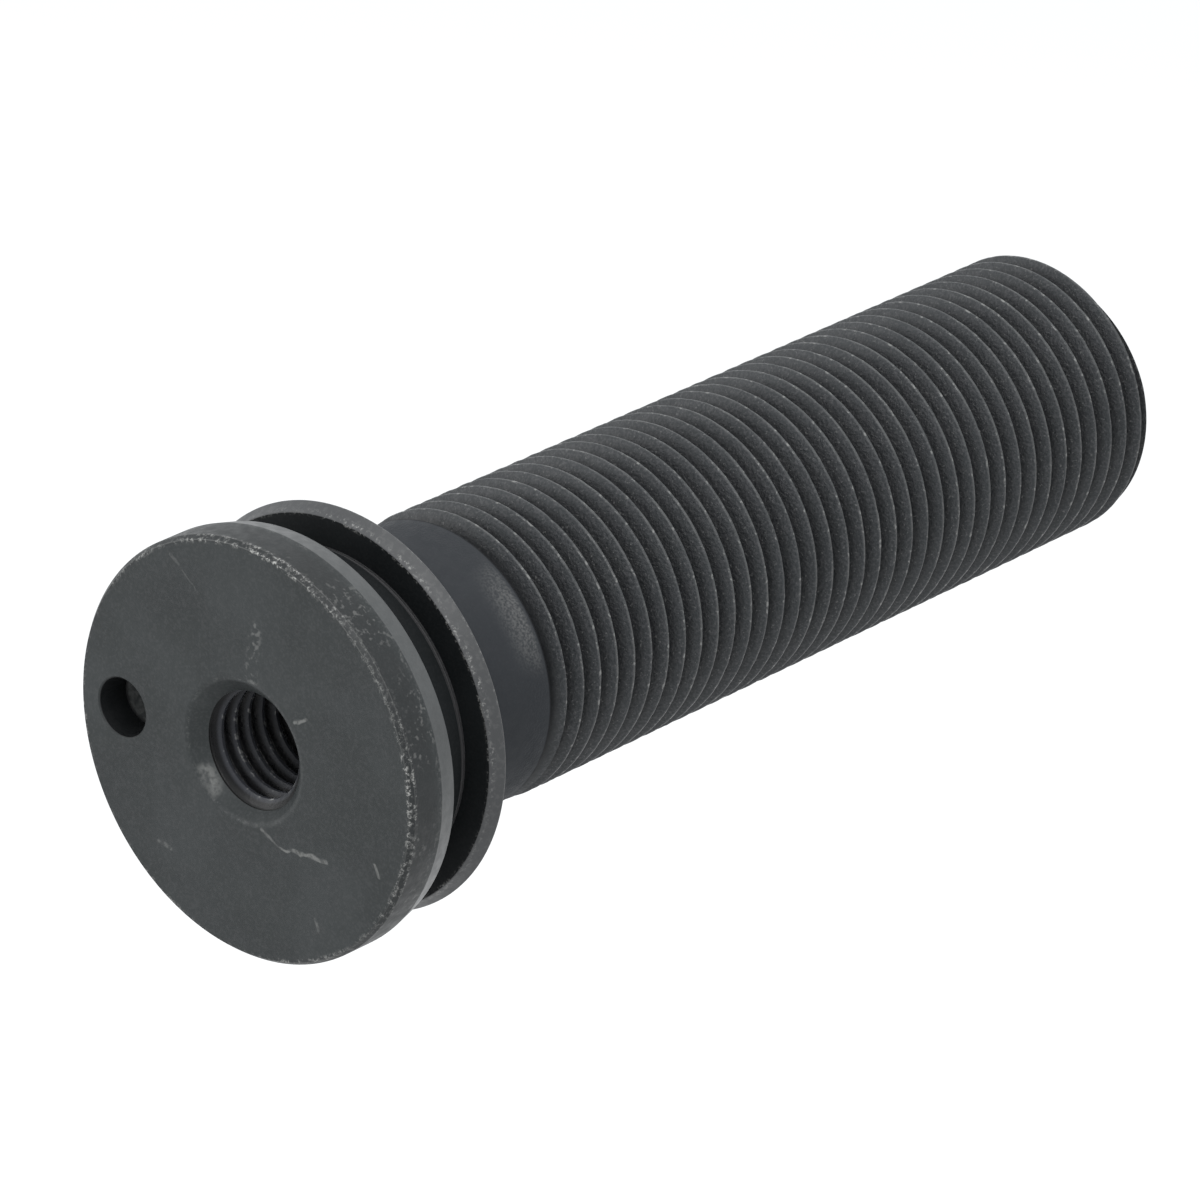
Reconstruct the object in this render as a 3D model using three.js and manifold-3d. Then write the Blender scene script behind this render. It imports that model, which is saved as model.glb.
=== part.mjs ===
// A thrust spindle with a swivel head: a threaded hollow shank whose disc head turns on a ball thrust bearing.
// Millimetres. The common axis is +Y. Heights along it are counted from the thrust face, and the finished
// assembly is moved so that the middle of its length is at the origin.
import * as THREE from 'three';
import { mergeVertices } from 'three/addons/utils/BufferGeometryUtils.js';
import Module from 'manifold-3d';

const wasm = await Module();
wasm.setup();

// ---- Driving dimensions ----
const LENGTH = 96.9;
const HEAD_R = 17;
const FACE_CHAMFER = { across: 0.3, along: 0.4 };
const RIM_STRAIGHT_END = 3.3;
const RIM_BACK = 5.2;
const RIM_BACK_R = 16.55;
const HUB_R = 13.7;
const HUB_END = 9.24;
const SEAT_Y = 5.1;
const SKIRT_INNER_R = 12.8;
const STEM_R = 6.6;
const STEM_END = 20.3;

const BEARING_Y = 9.6;
const FLANGE_Y = 9.94;
const FLANGE_FRONT_R = 15.8;
const FLANGE_R = 16.45;
const FLANGE_EDGE_Y = 11.1;
const FLANGE_BACK = 11.35;
const NECK_START_R = 13.85;
const NECK_END = 21.7;
const NECK_END_R = 11.65;

const THREAD = { major: 11.85, minor: 10.6, pitch: 2, hand: -1, segments: 20 };
const THREAD_BASE = 21.3;
const RUN_OUT = 2.2;
const END_CHAMFER = 0.65;

const TAP = { major: 5, minor: 4.25, pitch: 1.5, hand: 1, segments: 16 };
const TAP_DEPTH = 13.5;
const TAP_CHAMFER_R = 5.8;
const DRILL_DEPTH = 14.5;
const DRILL_POINT = 2.3;
const PIN_HOLE_R = 2.4;
const PIN_HOLE_DEPTH = 2.9;
const PIN_HOLE_POINT = 0.6;
const PIN_HOLE_OFFSET = 12.6;

const RACE_INNER_R = 6.9;
const RACE_OUTER_R = 12.5;
const RACE_THICKNESS = 1;
const TRACK = { mouth: 0.85, floor: 0.5, depth: 0.35 };
const BALL_R = 1.5;
const BALL_COUNT = 14;
const BALL_PITCH_R = (RACE_INNER_R + RACE_OUTER_R) / 2;
const BALL_Y = (SEAT_Y + BEARING_Y) / 2;
const CAGE_THICKNESS = 1;
const CAGE_MARGIN = 0.3;

const BUSH_R = 7.7;
const RIB_Y = 15.7;
const RIB_END = 17.3;
const RIB_R = 6.85;
const BORE_R = 8.2;
const SOCKET_SEAT_R = 8.85;
const SOCKET_SEAT_Y = LENGTH - 15.3;
const GROOVE_Y = 18.1;
const GROOVE_WIDTH = 1;
const GROOVE_R = 5.9;
const RING_OUTER_R = 7.5;
const HEX_ACROSS_FLATS = 10;
const INSERT_END = LENGTH - 0.3;

const PRESS_GAP = 0.05;
const RUNNING_GAP = 0.08;
const SIDE_GAP = 0.1;
const EDGE_BREAK = 0.2;
const OVERSHOOT = 1;
const OUTER_SEGMENTS = 40;
const INNER_SEGMENTS = 32;
const POCKET_SEGMENTS = 12;

// ---- Materials ----
const steel = (color, roughness) => () => new THREE.MeshStandardMaterial({ color, roughness, metalness: 0.9 });
const blackSteel = steel(0x34373a, 0.55);
const bearingSteel = steel(0xb9bec4, 0.2);
const springSteel = steel(0x4a4c50, 0.4);
const bronze = steel(0xa9824a, 0.4);
const rubber = () => new THREE.MeshStandardMaterial({ color: 0x161718, roughness: 0.8, metalness: 0 });

// ---- Geometry helpers ----
// Merges the vertices of a closed surface, drops empty triangles and turns the faces outward.
function closed(geometry) {
  const bare = geometry.clone();
  bare.deleteAttribute('normal');
  bare.deleteAttribute('uv');
  const merged = mergeVertices(bare, 1e-4);
  const vertices = merged.attributes.position.array;
  const corner = (i) => new THREE.Vector3().fromArray(vertices, 3 * i);
  const triangles = [];
  let volume = 0;
  for (let i = 0; i < merged.index.count; i += 3) {
    const [a, b, c] = [0, 1, 2].map((k) => merged.index.getX(i + k));
    if (a === b || b === c || c === a) continue;
    triangles.push([a, b, c]);
    volume += corner(a).dot(corner(b).cross(corner(c)));
  }
  const facing = volume < 0 ? triangles.map(([a, b, c]) => [a, c, b]) : triangles;
  return geometryOf(new Float32Array(vertices), new Uint32Array(facing.flat()));
}

function geometryOf(vertices, indices) {
  const geometry = new THREE.BufferGeometry();
  geometry.setAttribute('position', new THREE.BufferAttribute(vertices, 3));
  geometry.setIndex(new THREE.BufferAttribute(indices, 1));
  return geometry;
}

function solid(geometry) {
  const ready = closed(geometry);
  const vertProperties = ready.attributes.position.array;
  const triVerts = ready.index.array;
  return new wasm.Manifold(new wasm.Mesh({ numProp: 3, vertProperties, triVerts }));
}

function fromSolid(manifold) {
  const mesh = manifold.getMesh();
  return geometryOf(new Float32Array(mesh.vertProperties), new Uint32Array(mesh.triVerts));
}

// A solid of revolution about +Y. The outline is a list of [radius, height] corners and Vector2 points.
function turned(outline, segments) {
  const points = outline.map((p) => (p.isVector2 ? p : new THREE.Vector2(...p)));
  return new THREE.LatheGeometry(points, segments);
}

function ring(inner, outer, low, high, segments = INNER_SEGMENTS) {
  return turned([[inner, low], [outer, low], [outer, high], [inner, high], [inner, low]], segments);
}

// A rod with a V thread, longer than the span from low to high. Its rows of corners follow the helix, so the
// last corner of a row joins the first corner of the row one pitch further on.
function threadedRod(thread, low, high) {
  const rowsPerPitch = 2;
  const rows = Math.ceil((high - low) / thread.pitch + 4) * rowsPerPitch;
  const base = low - 2 * thread.pitch;
  const positions = [];
  for (let row = 0; row <= rows; row += 1) {
    const radius = row % rowsPerPitch === 0 ? thread.minor : thread.major;
    for (let step = 0; step < thread.segments; step += 1) {
      const angle = (2 * Math.PI * step) / thread.segments;
      const height = base + (row / rowsPerPitch + step / thread.segments) * thread.pitch;
      positions.push(thread.hand * radius * Math.cos(angle), height, -radius * Math.sin(angle));
    }
  }
  const bottom = positions.length / 3;
  positions.push(0, base, 0);
  positions.push(0, base + (rows / rowsPerPitch + 1) * thread.pitch, 0);
  const top = bottom + 1;
  const at = (row, step) => {
    const wraps = step === thread.segments;
    return (row + (wraps ? rowsPerPitch : 0)) * thread.segments + (wraps ? 0 : step);
  };
  const last = rows - rowsPerPitch;
  const indices = [];
  for (let row = 0; row < rows; row += 1) {
    for (let step = 0; step < thread.segments; step += 1) {
      if (step === thread.segments - 1 && row >= last) continue;
      indices.push(at(row, step), at(row, step + 1), at(row + 1, step + 1));
      indices.push(at(row, step), at(row + 1, step + 1), at(row + 1, step));
    }
  }
  for (let step = 0; step < thread.segments; step += 1) {
    indices.push(bottom, at(0, step + 1), at(0, step));
  }
  for (let step = 0; step < thread.segments - 1; step += 1) {
    indices.push(top, at(rows, step), at(rows, step + 1));
  }
  indices.push(top, at(last, thread.segments - 1), at(last, thread.segments));
  for (let row = 0; row < rowsPerPitch; row += 1) {
    indices.push(bottom, at(row, 0), at(row + 1, 0));
    indices.push(top, at(last + row + 1, thread.segments - 1), at(last + row, thread.segments - 1));
  }
  return geometryOf(new Float32Array(positions), new Uint32Array(indices));
}

// ---- Threaded spindle ----
// The flange and the concave neck behind it, which ends as a plain collar just before the thread.
function neckSolid() {
  const neck = new THREE.CubicBezierCurve(
    new THREE.Vector2(NECK_START_R, FLANGE_BACK + 0.3),
    new THREE.Vector2(NECK_START_R - 5.3, FLANGE_BACK + 0.6),
    new THREE.Vector2(NECK_END_R - 0.5, NECK_END - 4.2),
    new THREE.Vector2(NECK_END_R, NECK_END),
  );
  const counterbore = RACE_OUTER_R + SIDE_GAP;
  const front = [[0, BEARING_Y], [counterbore, BEARING_Y], [counterbore, FLANGE_Y]];
  const rim = [[FLANGE_FRONT_R, FLANGE_Y], [FLANGE_R, FLANGE_EDGE_Y], [FLANGE_R - 0.25, FLANGE_BACK]];
  const core = [[THREAD.minor - 0.1, NECK_END + 1.1], [0, NECK_END + 1.1]];
  return solid(turned([...front, ...rim, ...neck.getPoints(8), ...core], OUTER_SEGMENTS));
}

function shankSolid() {
  const outside = THREAD.major + 0.4;
  const endR = THREAD.major - END_CHAMFER;
  const envelope = turned([
    [0, NECK_END],
    [THREAD.minor, NECK_END],
    [outside, NECK_END + RUN_OUT],
    [outside, LENGTH - END_CHAMFER - 0.4],
    [endR, LENGTH],
    [0, LENGTH],
  ], OUTER_SEGMENTS);
  return solid(threadedRod(THREAD, THREAD_BASE, LENGTH)).intersect(solid(envelope));
}

function spindleBore() {
  return solid(turned([
    [0, BEARING_Y - OVERSHOOT],
    [BUSH_R + PRESS_GAP, BEARING_Y - OVERSHOOT],
    [BUSH_R + PRESS_GAP, RIB_Y],
    [RIB_R, RIB_Y],
    [RIB_R, RIB_END],
    [BORE_R, RIB_END],
    [BORE_R, SOCKET_SEAT_Y],
    [SOCKET_SEAT_R, SOCKET_SEAT_Y],
    [SOCKET_SEAT_R, LENGTH + OVERSHOOT],
    [0, LENGTH + OVERSHOOT],
  ], OUTER_SEGMENTS));
}

function threadedSpindle() {
  return fromSolid(neckSolid().add(shankSolid()).subtract(spindleBore()));
}

// ---- Thrust head ----
function headBlank() {
  const stemTip = 2 * EDGE_BREAK;
  return solid(turned([
    [0, 0],
    [HEAD_R - FACE_CHAMFER.across, 0],
    [HEAD_R, FACE_CHAMFER.along],
    [HEAD_R, RIM_STRAIGHT_END],
    [RIM_BACK_R, RIM_BACK],
    [HUB_R, RIM_BACK],
    [HUB_R, HUB_END - EDGE_BREAK],
    [HUB_R - EDGE_BREAK, HUB_END],
    [SKIRT_INNER_R, HUB_END],
    [SKIRT_INNER_R, SEAT_Y],
    [STEM_R, SEAT_Y],
    [STEM_R, GROOVE_Y],
    [GROOVE_R, GROOVE_Y],
    [GROOVE_R, GROOVE_Y + GROOVE_WIDTH],
    [STEM_R, GROOVE_Y + GROOVE_WIDTH],
    [STEM_R, STEM_END - stemTip],
    [STEM_R - stemTip, STEM_END],
    [0, STEM_END],
  ], OUTER_SEGMENTS));
}

function tappedHole() {
  const drill = turned([
    [0, -OVERSHOOT],
    [TAP_CHAMFER_R + OVERSHOOT, -OVERSHOOT],
    [TAP.minor, TAP_CHAMFER_R - TAP.minor],
    [TAP.minor, DRILL_DEPTH],
    [0, DRILL_DEPTH + DRILL_POINT],
  ], TAP.segments);
  const sleeve = turned([
    [0, EDGE_BREAK],
    [TAP.major + OVERSHOOT, EDGE_BREAK],
    [TAP.major + OVERSHOOT, TAP_DEPTH],
    [0, TAP_DEPTH],
  ], TAP.segments);
  return solid(threadedRod(TAP, 0, TAP_DEPTH)).intersect(solid(sleeve)).add(solid(drill));
}

function pinHole() {
  const drill = turned([
    [0, -OVERSHOOT],
    [PIN_HOLE_R, -OVERSHOOT],
    [PIN_HOLE_R, PIN_HOLE_DEPTH],
    [0, PIN_HOLE_DEPTH + PIN_HOLE_POINT],
  ], TAP.segments);
  return solid(drill.translate(-PIN_HOLE_OFFSET, 0, 0));
}

function thrustHead() {
  return fromSolid(headBlank().subtract(tappedHole()).subtract(pinHole()));
}

// ---- Ball thrust bearing ----
// A race washer with a shallow ball track in one side. The side is +1 when the track faces +Y.
function race(low, side) {
  const high = low + RACE_THICKNESS;
  const [back, front] = side > 0 ? [low, high] : [high, low];
  const trackFloor = front - side * TRACK.depth;
  return closed(turned([
    [RACE_INNER_R, back],
    [RACE_OUTER_R, back],
    [RACE_OUTER_R, front],
    [BALL_PITCH_R + TRACK.mouth, front],
    [BALL_PITCH_R + TRACK.floor, trackFloor],
    [BALL_PITCH_R - TRACK.floor, trackFloor],
    [BALL_PITCH_R - TRACK.mouth, front],
    [RACE_INNER_R, front],
    [RACE_INNER_R, back],
  ], INNER_SEGMENTS));
}

function ballCentre(index) {
  const angle = (2 * Math.PI * index) / BALL_COUNT;
  return new THREE.Vector3(BALL_PITCH_R * Math.cos(angle), BALL_Y, BALL_PITCH_R * Math.sin(angle));
}

function ball(index) {
  const centre = ballCentre(index);
  return closed(new THREE.IcosahedronGeometry(BALL_R, 1).translate(centre.x, centre.y, centre.z));
}

function ballCage() {
  const half = CAGE_THICKNESS / 2;
  const blank = ring(RACE_INNER_R + CAGE_MARGIN, RACE_OUTER_R - CAGE_MARGIN, BALL_Y - half, BALL_Y + half);
  const pocketR = BALL_R + SIDE_GAP;
  let cage = solid(blank);
  for (let i = 0; i < BALL_COUNT; i += 1) {
    const pocket = new THREE.CylinderGeometry(pocketR, pocketR, 1.5 * CAGE_THICKNESS, POCKET_SEGMENTS);
    const centre = ballCentre(i);
    cage = cage.subtract(solid(pocket.translate(centre.x, centre.y, centre.z)));
  }
  return fromSolid(cage);
}

// ---- Seal, bush and retaining parts ----
function dustSeal() {
  return closed(ring(SKIRT_INNER_R, HUB_R - EDGE_BREAK, HUB_END + SIDE_GAP, FLANGE_Y - SIDE_GAP));
}

function guideBush() {
  return closed(ring(STEM_R + RUNNING_GAP, BUSH_R, BEARING_Y + SIDE_GAP, RIB_Y - SIDE_GAP));
}

function retainingWasher() {
  const outer = BORE_R - 1.5 * SIDE_GAP;
  return closed(ring(STEM_R + RUNNING_GAP, outer, RIB_END + SIDE_GAP, GROOVE_Y - SIDE_GAP));
}

// An open snap ring: an arc-shaped plate that leaves a gap for the pliers.
function retainingRing() {
  const gap = Math.PI / 3;
  const outline = new THREE.Shape();
  outline.absarc(0, 0, RING_OUTER_R, gap / 2, 2 * Math.PI - gap / 2, false);
  outline.absarc(0, 0, GROOVE_R + PRESS_GAP, 2 * Math.PI - gap / 2, gap / 2, true);
  const depth = GROOVE_WIDTH - SIDE_GAP;
  const plate = new THREE.ExtrudeGeometry(outline, { depth, bevelEnabled: false, curveSegments: 24 });
  plate.rotateX(-Math.PI / 2);
  return closed(plate.translate(0, GROOVE_Y + SIDE_GAP / 2, 0));
}

// ---- Drive insert ----
function driveInsert() {
  const low = SOCKET_SEAT_Y + SIDE_GAP;
  const radius = SOCKET_SEAT_R - RUNNING_GAP;
  const body = turned([[0, low], [radius, low], [radius, INSERT_END], [0, INSERT_END]], INNER_SEGMENTS);
  const cornerR = HEX_ACROSS_FLATS / 2 / Math.cos(Math.PI / 6);
  const hexagon = new THREE.CylinderGeometry(cornerR, cornerR, INSERT_END - low + 2 * OVERSHOOT, 6);
  return fromSolid(solid(body).subtract(solid(hexagon.translate(0, (low + INSERT_END) / 2, 0))));
}

// ---- Assembly ----
const assembly = new THREE.Group();
assembly.position.y = -LENGTH / 2;

function place(name, geometry, makeMaterial) {
  const mesh = new THREE.Mesh(geometry, makeMaterial());
  mesh.name = name;
  assembly.add(mesh);
}

place('threaded_spindle', threadedSpindle(), blackSteel);
place('thrust_head', thrustHead(), blackSteel);
place('front_race', race(SEAT_Y, 1), bearingSteel);
place('rear_race', race(BEARING_Y - RACE_THICKNESS, -1), bearingSteel);
place('ball_cage', ballCage(), bronze);
for (let i = 0; i < BALL_COUNT; i += 1) {
  place(`ball_${String(i + 1).padStart(2, '0')}`, ball(i), bearingSteel);
}
place('dust_seal', dustSeal(), rubber);
place('guide_bush', guideBush(), bronze);
place('retaining_washer', retainingWasher(), springSteel);
place('retaining_ring', retainingRing(), springSteel);
place('drive_insert', driveInsert(), blackSteel);

export default new THREE.Group().add(assembly);
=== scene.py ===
"""Looks for a thrust spindle with a swivel head.

A blackened steel screw whose disc-shaped head turns on thrust balls."""

import math

import bmesh
import bpy
from mathutils import Matrix, Vector, noise as smooth_noise


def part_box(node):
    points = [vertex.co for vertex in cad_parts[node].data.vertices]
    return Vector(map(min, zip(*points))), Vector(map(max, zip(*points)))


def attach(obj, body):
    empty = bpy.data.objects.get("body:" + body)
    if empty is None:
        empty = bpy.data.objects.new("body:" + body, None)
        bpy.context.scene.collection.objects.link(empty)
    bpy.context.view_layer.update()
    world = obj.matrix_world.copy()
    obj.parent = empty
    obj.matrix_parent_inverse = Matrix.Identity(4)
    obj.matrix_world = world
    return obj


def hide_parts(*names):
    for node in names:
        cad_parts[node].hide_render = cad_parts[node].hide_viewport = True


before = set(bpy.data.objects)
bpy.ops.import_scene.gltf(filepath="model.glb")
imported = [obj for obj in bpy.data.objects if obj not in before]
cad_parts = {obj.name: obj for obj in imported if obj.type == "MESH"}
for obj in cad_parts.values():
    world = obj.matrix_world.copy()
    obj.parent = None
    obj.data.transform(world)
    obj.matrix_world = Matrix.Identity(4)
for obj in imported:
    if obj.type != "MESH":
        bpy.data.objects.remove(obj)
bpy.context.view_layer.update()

# In metres: a millimetre, and the distance below which two vertices are welded.
MM = 0.001
WELD = 1e-7
HEAD_LOW, HEAD_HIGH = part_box("thrust_head")
_, SPINDLE_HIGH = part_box("threaded_spindle")
FACE_Y = HEAD_LOW.y
HEAD_R = HEAD_HIGH.x / MM
LENGTH = (SPINDLE_HIGH.y - FACE_Y) / MM
COLUMNS = 192
FINE_COLUMNS = 96
BALL_COLUMNS = 48

# Radii and heights in millimetres. A height is the distance along the axis behind the thrust face.
FACE_CHAMFER = 0.4
FACE_CHAMFER_ACROSS = 0.3
FACE_R = HEAD_R - FACE_CHAMFER_ACROSS
RIM_STRAIGHT_END = 3.3
RIM_BACK = 5.2
RIM_BACK_R = 16.55
HUB_R = 13.7
HUB_END = 9.24
SEAT_Y = 5.1
SKIRT_INNER_R = 12.8
STEM_R = 6.6
STEM_END = 20.3
BEARING_Y = 9.6
FLANGE_Y = 9.94
FLANGE_FRONT_R = 15.8
FLANGE_R = 16.45
FLANGE_EDGE_Y = 11.1
FLANGE_BACK = 11.35
FLANGE_BACK_STEP = 0.35
NECK_START_R = 13.85
NECK_START = FLANGE_BACK + 0.3
NECK_END = 21.7
NECK_END_R = 11.65
# Control points of the neck's curve, measured from its two ends.
NECK_SWEEP_IN = 5.3
NECK_SWEEP_BACK = 0.3
NECK_WAIST_IN = 0.5
NECK_WAIST_FRONT = 4.2
THREAD_BASE = 21.3
RUN_OUT = 2.2
END_CHAMFER = 0.65
THREAD_CLEARANCE = 0.4
THREAD_NICKS = 0.05
BUSH_R = 7.7
BUSH_EDGE = 0.2
RIB_Y = 15.7
RIB_END = 17.3
RIB_R = 6.85
BORE_R = 8.2
SOCKET_SEAT_R = 8.85
SOCKET_SEAT_Y = LENGTH - 15.3
INSERT_R = 8.77
INSERT_SETBACK = 0.3
INSERT_END = LENGTH - INSERT_SETBACK
INSERT_EDGE = 0.25
HEX_ACROSS_FLATS = 10.0
HEX_LEAD_IN = 0.25
GROOVE_Y = 18.1
GROOVE_WIDTH = 1.0
GROOVE_R = 5.9
RING_OUTER_R = 7.5
RING_GAP_DEGREES = 60
PLIERS_HOLE_R = 0.4
PLIERS_HOLE_DEGREES = 8
TAP_CHAMFER_R = 5.8
TAP_CHAMFER_FILLET = 0.9
TAP_DEPTH = 13.5
DRILL_DEPTH = 14.5
DRILL_POINT = 2.3
PIN_HOLE_R = 2.4
PIN_HOLE_DEPTH = 2.9
PIN_HOLE_POINT = 0.6
PIN_HOLE_OFFSET = 12.6
RACE_INNER_R = 6.9
RACE_OUTER_R = 12.5
RACE_THICKNESS = 1.0
BALL_R = 1.5
BALL_COUNT = 14
BALL_PITCH_R = (RACE_INNER_R + RACE_OUTER_R) / 2
BALL_Y = (SEAT_Y + BEARING_Y) / 2
TRACK_R = 1.04 * BALL_R
CAGE_HALF = 0.5
CAGE_MARGIN = 0.3
SEAL_INSET = 0.2
SEAL_LIP_R = 0.12
SEAL_CORNER = 0.08
RUNNING_GAP = 0.08
PRESS_GAP = 0.05
SIDE_GAP = 0.1
SEAL_GAP = 0.03
WASHER_GAP = 0.15
EDGE = 0.12
ZERO = 1e-6

SCREW = {"major": 11.85, "minor": 10.6, "pitch": 2.0, "hand": -1, "crest": 0.12, "root": 0.3}
TAP = {"major": 5.0, "minor": 4.25, "pitch": 1.5, "hand": 1, "crest": 0.2, "root": 0.25}


# ---- Camera, floor and light ----
CAMERA_AZIMUTH = math.radians(40.75)
CAMERA_ELEVATION = math.radians(23.2)
CAMERA_LENS = 245.4
# From the middle of the thrust face, in head radii: right, up and away.
CAMERA_OFFSET = (1.5722, 0.6713, 36.0665)
FLOOR_HALF = 4.0
FLOOR_DROP = 0.15
LAMP_WIDTH = 0.7


def make_camera():
    azimuth, elevation = CAMERA_AZIMUTH, CAMERA_ELEVATION
    right = Vector((math.cos(azimuth), math.sin(azimuth), 0))
    flat = Vector((-math.sin(azimuth), math.cos(azimuth), 0))
    forward = flat * math.cos(elevation) - Vector((0, 0, math.sin(elevation)))
    up = right.cross(forward)
    face = Vector((0, FACE_Y, 0))
    head_r = HEAD_R * MM
    data = bpy.data.cameras.new("camera")
    data.lens = CAMERA_LENS
    data.sensor_width = 36
    data.clip_start = 0.01
    camera = bpy.data.objects.new("camera", data)
    aside, above, away = CAMERA_OFFSET
    place = face + head_r * (aside * right + above * up - away * forward)
    turn = Matrix((right, up, -forward)).transposed().to_4x4()
    camera.matrix_world = Matrix.Translation(place) @ turn
    bpy.context.scene.collection.objects.link(camera)
    bpy.context.scene.camera = camera


def make_floor():
    signs = [(-1, -1), (1, -1), (1, 1), (-1, 1)]
    mesh = bpy.data.meshes.new("floor")
    mesh.from_pydata([(x * FLOOR_HALF, y * FLOOR_HALF, -FLOOR_DROP) for x, y in signs], [], [(0, 1, 2, 3)])
    floor = bpy.data.objects.new("floor", mesh)
    bpy.context.scene.collection.objects.link(floor)
    material = bpy.data.materials.new("floor_pale")
    material.use_nodes = True
    shader = material.node_tree.nodes["Principled BSDF"]
    shader.inputs["Base Color"].default_value = (0.63, 0.63, 0.63, 1)
    shader.inputs["Roughness"].default_value = 0.9
    shader.inputs["Specular IOR Level"].default_value = 0.0
    mesh.materials.append(material)


def make_softbox(name, azimuth, elevation, watts):
    """A round lamp 1 m from the object. Azimuth 0 is in front of the thrust face, 90 is on +X."""
    turn, rise = math.radians(azimuth), math.radians(elevation)
    place = Vector((math.sin(turn) * math.cos(rise), -math.cos(turn) * math.cos(rise), math.sin(rise)))
    data = bpy.data.lights.new(name, "AREA")
    data.shape = "DISK"
    data.size = LAMP_WIDTH
    data.energy = watts
    light = bpy.data.objects.new(name, data)
    light.location = place
    light.rotation_euler = (-place).to_track_quat("-Z", "Y").to_euler()
    bpy.context.scene.collection.objects.link(light)


def make_studio():
    world = bpy.data.worlds.new("studio")
    world.use_nodes = True
    background = world.node_tree.nodes["Background"]
    background.inputs["Color"].default_value = (0.97, 0.985, 1.0, 1)
    background.inputs["Strength"].default_value = 1.26
    bpy.context.scene.world = world
    make_softbox("overhead", 0, 90, 3.7)
    make_softbox("front_right", 45, 50, 5.0)
    make_softbox("front_left", -45, 12, 3.4)
    bpy.context.scene.view_settings.view_transform = "Standard"


# ---- Mesh helpers ----
def rounded(outline, steps=5):
    """Corner list of (radius, height, fillet) to a point list, each corner with a fillet drawn as an arc."""
    points = []
    for i, corner in enumerate(outline):
        here = Vector(corner[:2])
        fillet = corner[2] if len(corner) > 2 else 0
        if not fillet or i in (0, len(outline) - 1):
            points.append(tuple(here))
            continue
        to_last = (Vector(outline[i - 1][:2]) - here).normalized()
        to_next = (Vector(outline[i + 1][:2]) - here).normalized()
        half = to_last.angle(to_next) / 2
        reach = fillet / math.tan(half)
        centre = here + (to_last + to_next).normalized() * fillet / math.sin(half)
        start, end = here + to_last * reach - centre, here + to_next * reach - centre
        sweep = start.angle_signed(end)
        for k in range(steps + 1):
            angle = -sweep * k / steps
            c, s = math.cos(angle), math.sin(angle)
            points.append((centre.x + c * start.x - s * start.y, centre.y + s * start.x + c * start.y))
    return points


def arc(centre, radius, start, end, steps=12):
    """Points of a circular arc in the (radius, height) plane; angles in degrees from the radial direction."""
    points = []
    for k in range(steps + 1):
        angle = math.radians(start + (end - start) * k / steps)
        points.append((centre[0] + radius * math.cos(angle), centre[1] + radius * math.sin(angle)))
    return points


def mesh_object(name, vertices, faces):
    mesh = bpy.data.meshes.new(name)
    mesh.from_pydata([tuple(v) for v in vertices], [], faces)
    mesh.validate()
    made = bpy.data.objects.new(name, mesh)
    bpy.context.scene.collection.objects.link(made)
    return made


def face_outward(thing):
    work = bmesh.new()
    work.from_mesh(thing.data)
    bmesh.ops.remove_doubles(work, verts=work.verts, dist=WELD)
    bmesh.ops.recalc_face_normals(work, faces=work.faces)
    if work.calc_volume(signed=True) < 0:
        bmesh.ops.reverse_faces(work, faces=work.faces)
    work.to_mesh(thing.data)
    work.free()
    return thing


def turned(name, outline, columns=COLUMNS):
    """A closed solid of revolution about the axis, from (radius, height) points in millimetres."""
    vertices, rows = [], []
    for radius, height in outline:
        y = FACE_Y + height * MM
        if radius < ZERO:
            rows.append([len(vertices)] * columns)
            vertices.append((0, y, 0))
            continue
        rows.append(list(range(len(vertices), len(vertices) + columns)))
        for k in range(columns):
            angle = 2 * math.pi * k / columns
            vertices.append((radius * MM * math.cos(angle), y, radius * MM * math.sin(angle)))
    if outline[0][0] > ZERO:
        rows.append(rows[0])
    faces = []
    for low, high in zip(rows, rows[1:]):
        for k in range(columns):
            n = (k + 1) % columns
            corners = list(dict.fromkeys((low[k], low[n], high[n], high[k])))
            if len(corners) > 2:
                faces.append(corners)
    return face_outward(mesh_object(name, vertices, faces))


def turned_ring(name, inner, outer, low, high, edge=EDGE):
    """A plain turned ring with its four corners rounded."""
    start = (inner, (low + high) / 2)
    corners = [(inner, low, edge), (outer, low, edge), (outer, high, edge), (inner, high, edge)]
    return turned(name, rounded([start] + corners + [start])[:-1])


def thread_profile(thread):
    """One pitch of a V thread with flat root and softened crest, as (share of the pitch, radius)."""
    pitch, crest, root = thread["pitch"], thread["crest"] / 2, thread["root"] / 2
    softened = [(crest, 0.0), (crest + 0.04, 0.03), (crest + 0.11, 0.13)]
    rise = [(0.5 - aside / pitch, thread["major"] - drop) for aside, drop in reversed(softened)]
    fall = [(0.5 + aside / pitch, thread["major"] - drop) for aside, drop in softened]
    return [(root / pitch, thread["minor"])] + rise + fall + [(1 - root / pitch, thread["minor"])]


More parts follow.
